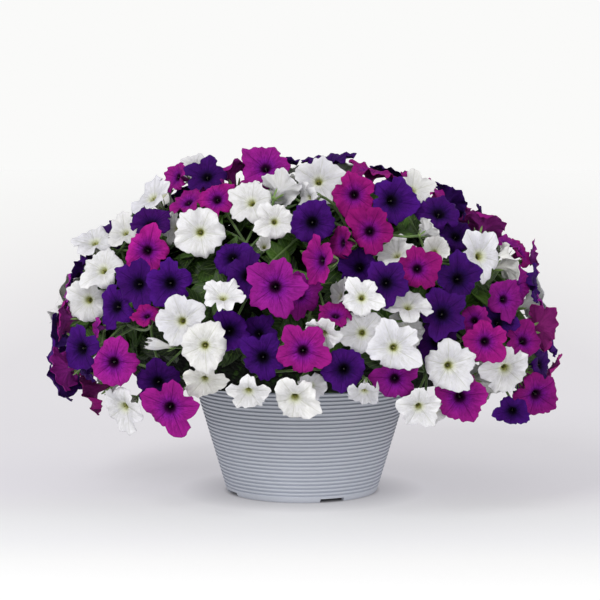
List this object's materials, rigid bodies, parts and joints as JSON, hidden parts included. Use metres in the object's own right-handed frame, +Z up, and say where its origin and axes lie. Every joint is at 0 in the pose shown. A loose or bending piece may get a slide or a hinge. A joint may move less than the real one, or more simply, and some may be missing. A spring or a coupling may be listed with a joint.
{
  "type": "potted petunia plant",
  "caption": "Ribbed round planter bowl filled with soil and a wide mound of trailing petunias in white, violet and magenta over leafy green stems, standing on a flat foot ring.",
  "frame": {"origin": "on the surface that the bowl stands on, on the bowl's axis, which is within a millimetre of the middle of the bounding box", "axes": "+Z up along the bowl's axis; +X across the mound's widest way; the side that the picture shows faces -Y"},
  "size_m": [0.6578, 0.5943, 0.4432],
  "materials": {
    "bowl_plastic": "matt light grey-blue moulded plastic",
    "potting_soil": "loose dark potting mix",
    "green_leaf": "soft, finely hairy leaf",
    "white_petal": "soft white petal",
    "violet_petal": "velvety violet petal",
    "magenta_petal": "velvety magenta petal"
  },
  "bodies": {
    "root": {"bowl": "bowl_plastic", "soil": "potting_soil", "leafy_crown": "green_leaf", "magenta_spray_01": "magenta_petal", "white_spray_01": "white_petal", "violet_spray_01": "violet_petal", "magenta_spray_02": "magenta_petal", "white_spray_02": "white_petal", "magenta_spray_03": "magenta_petal", "white_spray_03": "white_petal", "white_spray_04": "white_petal", "violet_spray_02": "violet_petal", "violet_spray_03": "violet_petal", "violet_spray_04": "violet_petal", "magenta_spray_04": "magenta_petal", "magenta_spray_05": "magenta_petal", "white_spray_05": "white_petal", "magenta_spray_06": "magenta_petal", "magenta_spray_07": "magenta_petal", "violet_spray_05": "violet_petal", "violet_spray_06": "violet_petal", "violet_spray_07": "violet_petal", "magenta_spray_08": "magenta_petal", "white_spray_06": "white_petal", "violet_spray_08": "violet_petal", "magenta_spray_09": "magenta_petal", "white_spray_07": "white_petal", "magenta_spray_10": "magenta_petal", "violet_spray_09": "violet_petal", "white_spray_08": "white_petal", "violet_spray_10": "violet_petal", "violet_spray_11": "violet_petal", "magenta_spray_11": "magenta_petal", "white_spray_09": "white_petal", "magenta_spray_12": "magenta_petal", "violet_spray_12": "violet_petal", "white_spray_10": "white_petal", "violet_spray_13": "violet_petal", "magenta_spray_13": "magenta_petal", "white_spray_11": "white_petal", "white_spray_12": "white_petal", "magenta_spray_14": "magenta_petal", "magenta_spray_15": "magenta_petal", "white_spray_13": "white_petal", "magenta_spray_16": "magenta_petal", "white_spray_14": "white_petal", "magenta_spray_17": "magenta_petal", "white_spray_15": "white_petal", "magenta_spray_18": "magenta_petal", "violet_spray_14": "violet_petal", "violet_spray_15": "violet_petal", "white_spray_16": "white_petal", "white_spray_17": "white_petal"}
  },
  "joints": []
}
